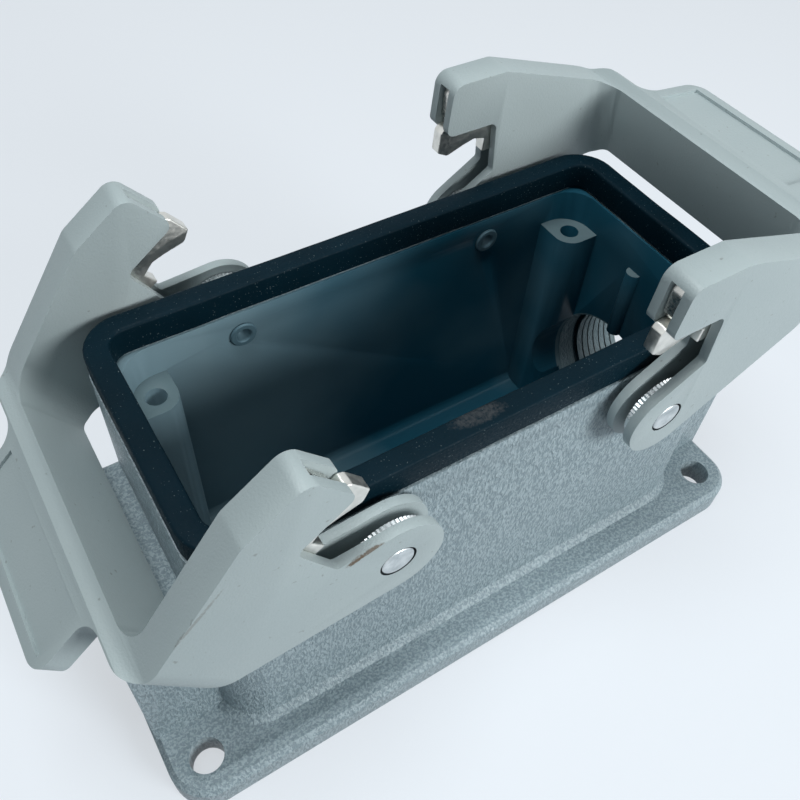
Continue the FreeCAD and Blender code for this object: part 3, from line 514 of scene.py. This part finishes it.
def makePins():
    form = pinForm
    inside, tail = form["wallInsideMm"], form["tailMm"]
    profile = [
        # radius and distance from the middle plane, from the hollow's floor round to the outer face
        (0.0, tail + form["hollowDeepMm"]),
        (form["hollowMm"] * form["hollowFloorShare"], tail + form["hollowDeepMm"]),
        (form["hollowMm"], tail + form["lipMm"]), (form["hollowMm"] + form["lipMm"], tail),
        (form["flareMm"] - form["lipMm"], tail), (form["flareMm"], tail + form["lipMm"]),
        (form["flareMm"], inside), (form["neckMm"], inside), (form["neckMm"], form["shoulderMm"]),
        (form["shankMm"], form["shoulderMm"]), (form["shankMm"], form["outerEndMm"] - form["bevelMm"]),
        (form["shankMm"] - form["bevelMm"], form["outerEndMm"]), (0.0, form["outerEndMm"]),
    ]
    for sideName, side in sides.items():
        for faceName, face in faces.items():
            work = bmesh.new()
            points = [work.verts.new(Vector((radius, y * face, 0)) * mm) for radius, y in profile]
            lines = [work.edges.new(pair) for pair in zip(points, points[1:])]
            bmesh.ops.spin(work, geom=points + lines, cent=(0, 0, 0), axis=(0, 1, 0),
                           angle=2 * math.pi, steps=form["segments"], use_merge=True)
            bmesh.ops.remove_doubles(work, verts=work.verts, dist=form["mergeMm"] * mm)
            bmesh.ops.recalc_face_normals(work, faces=work.faces)
            bmesh.ops.translate(work, verts=work.verts,
                                vec=Vector((pinAxis["spacingMm"] / 2 * side, 0, pinAxis["heightMm"])) * mm)
            name = "pivot_pin_" + sideName + "_" + faceName
            mesh = bpy.data.meshes.new(name + "_turned")
            work.to_mesh(mesh)
            work.free()
            piece = addPiece(name + "_turned", mesh, pinSteel)
            for polygon in mesh.polygons:
                polygon.use_smooth = abs(polygon.normal.y) < form["smoothBelow"]
            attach(piece, "base")
            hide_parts(name)


makePins()
print("pins turned")


# geometry node trees for the gasket, the discs and the thread

def newShapeTree(name, sizeNames):
    # a geometry node tree with named sizes and a material
    tree = bpy.data.node_groups.new(name, "GeometryNodeTree")
    for sizeName in sizeNames:
        tree.interface.new_socket(sizeName, in_out="INPUT", socket_type="NodeSocketFloat")
    tree.interface.new_socket("Material", in_out="INPUT", socket_type="NodeSocketMaterial")
    tree.interface.new_socket("Geometry", in_out="OUTPUT", socket_type="NodeSocketGeometry")
    sizes = addNode(tree, "NodeGroupInput").outputs
    return tree, sizes


def finishShapeTree(tree, geometry, sizes):
    # the end of each tree: real geometry, smooth, with its material
    real = addNode(tree, "GeometryNodeRealizeInstances", {}, {"Geometry": geometry})
    smooth = addNode(tree, "GeometryNodeSetShadeSmooth", {}, {"Geometry": real.outputs[0]})
    coloured = addNode(tree, "GeometryNodeSetMaterial", {}, {
        "Geometry": smooth.outputs[0], "Material": sizes["Material"]})
    addNode(tree, "NodeGroupOutput", {}, {0: coloured.outputs[0]})


def meshFromTree(tree, name, sizes, material):
    # run the tree once and keep the result as a plain mesh
    piece = bpy.data.objects.new(name, bpy.data.meshes.new(name + "_start"))
    bpy.context.collection.objects.link(piece)
    modifier = piece.modifiers.new("shape", "NODES")
    modifier.node_group = tree
    for socket in tree.interface.items_tree:
        if socket.in_out == "INPUT":
            modifier[socket.identifier] = material if socket.name == "Material" else sizes[socket.name]
    bpy.context.view_layer.update()
    result = bpy.data.meshes.new_from_object(piece.evaluated_get(bpy.context.evaluated_depsgraph_get()))
    result.name = name
    piece.modifiers.remove(modifier)
    piece.data = result
    return piece


# gasket: a section swept round the rim

gasketForm = {
    "Length": 92.4 * mm, "Width": 42.5 * mm, "Corner": 6.3 * mm, "Wall": 3.6 * mm, "Bottom": 52.1 * mm,
    "Height": 4.9 * mm, "Edge": 0.55 * mm, "Step": 0.9 * mm, "Uneven": 0.12 * mm,
}
gasketMaking = {"cornerSteps": 12, "edgeSteps": 4, "dentMm": 11.0, "dentFrom": 0.3, "dentFull": 0.75}


def makeGasket():
    tree, sizes = newShapeTree("gasket ring", gasketForm)
    pathSizes = []
    for sizeName in ("Length", "Width"):
        pathSizes.append(addNode(tree, "ShaderNodeMath", {"operation": "SUBTRACT"}, {
            0: sizes[sizeName], 1: sizes["Wall"]}).outputs[0])
    pathCorner = addNode(tree, "ShaderNodeMath", {"operation": "MULTIPLY_ADD"}, {
        0: sizes["Wall"], 1: -0.5, 2: sizes["Corner"]}).outputs[0]
    path = addNode(tree, "GeometryNodeCurvePrimitiveQuadrilateral", {"mode": "RECTANGLE"}, {
        "Width": pathSizes[0], "Height": pathSizes[1]}).outputs[0]
    path = addNode(tree, "GeometryNodeFilletCurve", {"mode": "POLY"}, {
        "Curve": path, "Radius": pathCorner, "Count": gasketMaking["cornerSteps"]}).outputs[0]
    path = addNode(tree, "GeometryNodeResampleCurve", {"mode": "LENGTH"}, {
        "Curve": path, "Length": sizes["Step"]}).outputs[0]
    section = addNode(tree, "GeometryNodeCurvePrimitiveQuadrilateral", {"mode": "RECTANGLE"}, {
        "Width": sizes["Wall"], "Height": sizes["Height"]}).outputs[0]
    section = addNode(tree, "GeometryNodeFilletCurve", {"mode": "POLY"}, {
        "Curve": section, "Radius": sizes["Edge"], "Count": gasketMaking["edgeSteps"]}).outputs[0]
    ring = addNode(tree, "GeometryNodeCurveToMesh", {}, {"Curve": path, "Profile Curve": section}).outputs[0]
    lift = addNode(tree, "ShaderNodeMath", {"operation": "MULTIPLY_ADD"}, {
        0: sizes["Height"], 1: 0.5, 2: sizes["Bottom"]}).outputs[0]
    place = addNode(tree, "ShaderNodeCombineXYZ", {}, {"Z": lift}).outputs[0]
    ring = addNode(tree, "GeometryNodeTransform", {}, {"Geometry": ring, "Translation": place}).outputs[0]
    # the soft ring is slightly uneven, always inwards of its true form
    dents = addNode(tree, "ShaderNodeTexNoise", {}, {
        "Scale": perMm(gasketMaking["dentMm"]), "Detail": 1.0}).outputs["Fac"]
    depth = addNode(tree, "ShaderNodeMapRange", {}, {
        "Value": dents, "From Min": gasketMaking["dentFrom"], "From Max": gasketMaking["dentFull"],
        "To Min": 0.0, "To Max": -1.0}).outputs[0]
    depth = addNode(tree, "ShaderNodeMath", {"operation": "MULTIPLY"}, {
        0: depth, 1: sizes["Uneven"]}).outputs[0]
    normal = addNode(tree, "GeometryNodeInputNormal").outputs[0]
    move = addNode(tree, "ShaderNodeVectorMath", {"operation": "SCALE"}, {
        0: normal, "Scale": depth}).outputs[0]
    ring = addNode(tree, "GeometryNodeSetPosition", {}, {"Geometry": ring, "Offset": move}).outputs[0]
    finishShapeTree(tree, ring, sizes)
    return meshFromTree(tree, "gasket_ring", gasketForm, gasketRubber)


gasketRing = makeGasket()
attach(gasketRing, "base")
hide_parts("gasket")
print("gasket laid")


# spacer discs: stamped steel with a finely toothed rim, one between the two leaves of each arm

discForm = {
    "Teeth Radius": 5.55 * mm, "Root Radius": 5.38 * mm, "Bore": 1.85 * mm, "Thickness": 1.1 * mm,
}
discMaking = {"teeth": 56, "boreSteps": 32, "middleMm": 25.3, "mergeMm": 0.001, "sharpDeg": 20}


def makeDiscs():
    tree, sizes = newShapeTree("toothed disc", discForm)
    rim = addNode(tree, "GeometryNodeCurveStar", {}, {
        "Points": discMaking["teeth"], "Inner Radius": sizes["Root Radius"],
        "Outer Radius": sizes["Teeth Radius"]})
    bore = addNode(tree, "GeometryNodeCurvePrimitiveCircle", {}, {
        "Resolution": discMaking["boreSteps"], "Radius": sizes["Bore"]})
    lines = addNode(tree, "GeometryNodeJoinGeometry", {}, {0: rim.outputs[0]})
    tree.links.new(bore.outputs[0], lines.inputs[0])
    face = addNode(tree, "GeometryNodeFillCurve", {"mode": "TRIANGLES"}, {
        "Curve": lines.outputs[0]}).outputs[0]
    raised = addNode(tree, "GeometryNodeExtrudeMesh", {}, {
        "Mesh": face, "Offset Scale": sizes["Thickness"], "Individual": False}).outputs[0]
    under = addNode(tree, "GeometryNodeFlipFaces", {}, {"Mesh": face}).outputs[0]
    solid = addNode(tree, "GeometryNodeJoinGeometry", {}, {0: raised})
    tree.links.new(under, solid.inputs[0])
    solid = addNode(tree, "GeometryNodeMergeByDistance", {}, {
        "Geometry": solid.outputs[0], "Distance": discMaking["mergeMm"] * mm}).outputs[0]
    finishShapeTree(tree, solid, sizes)
    for sideName, side in sides.items():
        for faceName, face in faces.items():
            name = "spacer_disc_" + sideName + "_" + faceName
            piece = meshFromTree(tree, name + "_toothed", discForm, discSteel)
            upright = Matrix.Rotation(math.radians(90), 4, "X")
            middle = Vector((pinAxis["spacingMm"] / 2 * side, discMaking["middleMm"] * face,
                             pinAxis["heightMm"])) * mm
            centred = Matrix.Translation((0, 0, -discForm["Thickness"] / 2))
            piece.data.transform(Matrix.Translation(middle) @ upright @ centred)
            piece.data.set_sharp_from_angle(angle=math.radians(discMaking["sharpDeg"]))
            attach(piece, "base")
            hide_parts(name)


makeDiscs()
print("discs toothed")


# M25 x 1.5 thread in the cable entry: one ridge along a helix

threadForm = {
    "Axis Height": 18.7 * mm, "Start": 46.6 * mm, "Length": 10.4 * mm, "Pitch": 1.5 * mm,
    "Root": 12.52 * mm, "Crest": 11.7 * mm, "Root Width": 1.2 * mm, "Crest Width": 0.65 * mm,
}
threadMaking = {"stepsPerTurn": 56, "sharpDeg": 30}


def makeEntryThread():
    tree, sizes = newShapeTree("entry thread", threadForm)
    turns = addNode(tree, "ShaderNodeMath", {"operation": "DIVIDE"}, {
        0: sizes["Length"], 1: sizes["Pitch"]}).outputs[0]
    middle = addNode(tree, "ShaderNodeMath", {"operation": "ADD"}, {
        0: sizes["Root"], 1: sizes["Crest"]}).outputs[0]
    middle = addNode(tree, "ShaderNodeMath", {"operation": "MULTIPLY"}, {0: middle, 1: 0.5}).outputs[0]
    ridge = addNode(tree, "ShaderNodeMath", {"operation": "SUBTRACT"}, {
        0: sizes["Root"], 1: sizes["Crest"]}).outputs[0]
    helix = addNode(tree, "GeometryNodeCurveSpiral", {}, {
        "Resolution": threadMaking["stepsPerTurn"], "Rotations": turns, "Start Radius": middle,
        "End Radius": middle, "Height": sizes["Length"]}).outputs[0]
    helix = addNode(tree, "GeometryNodeSetCurveNormal", {"mode": "Z_UP"}, {"Curve": helix}).outputs[0]
    section = addNode(tree, "GeometryNodeCurvePrimitiveQuadrilateral", {"mode": "TRAPEZOID"}, {
        "Bottom Width": sizes["Root Width"], "Top Width": sizes["Crest Width"], "Height": ridge,
        "Offset": 0.0}).outputs[0]
    section = addNode(tree, "GeometryNodeTransform", {}, {
        "Geometry": section, "Rotation": (0, 0, math.radians(90))}).outputs[0]
    ridge = addNode(tree, "GeometryNodeCurveToMesh", {}, {
        "Curve": helix, "Profile Curve": section, "Fill Caps": True}).outputs[0]
    place = addNode(tree, "ShaderNodeCombineXYZ", {}, {
        "X": sizes["Start"], "Z": sizes["Axis Height"]}).outputs[0]
    ridge = addNode(tree, "GeometryNodeTransform", {}, {
        "Geometry": ridge, "Translation": place, "Rotation": (0, math.radians(90), 0)}).outputs[0]
    finishShapeTree(tree, ridge, sizes)
    piece = meshFromTree(tree, "entry_thread", threadForm, housingPaint)
    piece.data.set_sharp_from_angle(angle=math.radians(threadMaking["sharpDeg"]))
    return piece


entryThread = makeEntryThread()
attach(entryThread, "base")
print("entry thread cut")


# floor, lamps and world

studio = {
    "floorHalfM": 3.0, "floorBounce": "949CA3", "floorSeen": "8C9299", "skyColour": "E6EAEE",
    "floorGlow": 0.71, "floorRough": 0.9, "fadeFromM": 0.25, "fadeToM": 0.8,
    "lightColour": "BCD4E0", "lightStrength": 0.13, "lampAimMm": (0, 0, 30),
    "lamps": [
        # name, place in mm, size in mm, power in watts, colour
        ("frontLamp", (200, -500, 250), 240, 2.7, "F8FBFB"),
        ("topLamp", (-60, 20, 600), 300, 2.35, "F6FBFC"),
        ("leftLamp", (-430, -60, 260), 300, 0.06, "E4F0F4"),
    ],
}


def raysSeen(tree):
    # 1 for camera, glossy and transmission rays, 0 for the rays that carry light
    rays = addNode(tree, "ShaderNodeLightPath").outputs
    seen = rays["Is Camera Ray"]
    for ray in ("Is Glossy Ray", "Is Transmission Ray"):
        seen = addNode(tree, "ShaderNodeMath", {"operation": "MAXIMUM"}, {0: seen, 1: rays[ray]}).outputs[0]
    return seen


def makeStudio():
    half = studio["floorHalfM"]
    floorMesh = bpy.data.meshes.new("floor")
    floorMesh.from_pydata([(-half, -half, 0), (half, -half, 0), (half, half, 0), (-half, half, 0)],
                          [], [(0, 1, 2, 3)])
    # the sheet bounces light plainly, and the camera sees it near white with the object's shadow on it
    material, tree, shader, position = newMaterial("matt paper", {
        "Roughness": studio["floorRough"], "Specular IOR Level": 0.0})
    seen = raysSeen(tree)
    paper = addNode(tree, "ShaderNodeMix", {"data_type": "RGBA"}, {
        0: seen, 6: linearColour(studio["floorBounce"]), 7: linearColour(studio["floorSeen"])}).outputs[2]
    # away from the object the sheet fades into the backdrop
    away = addNode(tree, "ShaderNodeVectorMath", {"operation": "LENGTH"}, {0: position}).outputs["Value"]
    away = addNode(tree, "ShaderNodeMapRange", {"interpolation_type": "SMOOTHSTEP"}, {
        "Value": away, "From Min": studio["fadeFromM"], "From Max": studio["fadeToM"]}).outputs[0]
    faded = addNode(tree, "ShaderNodeMath", {"operation": "MULTIPLY"}, {0: away, 1: seen}).outputs[0]
    paper = addNode(tree, "ShaderNodeMix", {"data_type": "RGBA"}, {
        0: faded, 6: paper, 7: (0, 0, 0, 1)}).outputs[2]
    glow = addNode(tree, "ShaderNodeMapRange", {}, {"Value": away, "To Min": studio["floorGlow"]}).outputs[0]
    glow = addNode(tree, "ShaderNodeMath", {"operation": "MULTIPLY"}, {0: seen, 1: glow}).outputs[0]
    tree.links.new(paper, shader.inputs["Base Color"])
    shader.inputs["Emission Color"].default_value = linearColour(studio["skyColour"])
    tree.links.new(glow, shader.inputs["Emission Strength"])
    addPiece("floor", floorMesh, material)
    # the world lights the object plainly; the camera and reflections see a pale backdrop
    world = bpy.data.worlds.new("studio")
    world.use_nodes = True
    tree = world.node_tree
    tree.nodes.clear()
    seen = raysSeen(tree)
    light = addNode(tree, "ShaderNodeBackground", {}, {
        "Color": linearColour(studio["lightColour"]), "Strength": studio["lightStrength"]}).outputs[0]
    backdrop = addNode(tree, "ShaderNodeBackground", {}, {
        "Color": linearColour(studio["skyColour"]), "Strength": 1.0}).outputs[0]
    mixed = addNode(tree, "ShaderNodeMixShader", {}, {0: seen, 1: light, 2: backdrop}).outputs[0]
    addNode(tree, "ShaderNodeOutputWorld", {}, {0: mixed})
    bpy.context.scene.world = world
    aim = Vector(studio["lampAimMm"]) * mm
    for name, place, size, power, colour in studio["lamps"]:
        lampData = bpy.data.lights.new(name, "AREA")
        lampData.shape = "DISK"
        lampData.size = size * mm
        lampData.energy = power
        lampData.color = linearColour(colour)[:3]
        lamp = bpy.data.objects.new(name, lampData)
        lamp.location = Vector(place) * mm
        lamp.rotation_euler = (aim - lamp.location).to_track_quat("-Z", "Y").to_euler()
        bpy.context.collection.objects.link(lamp)


makeStudio()
bpy.context.scene.view_settings.view_transform = "Standard"
print("studio set")
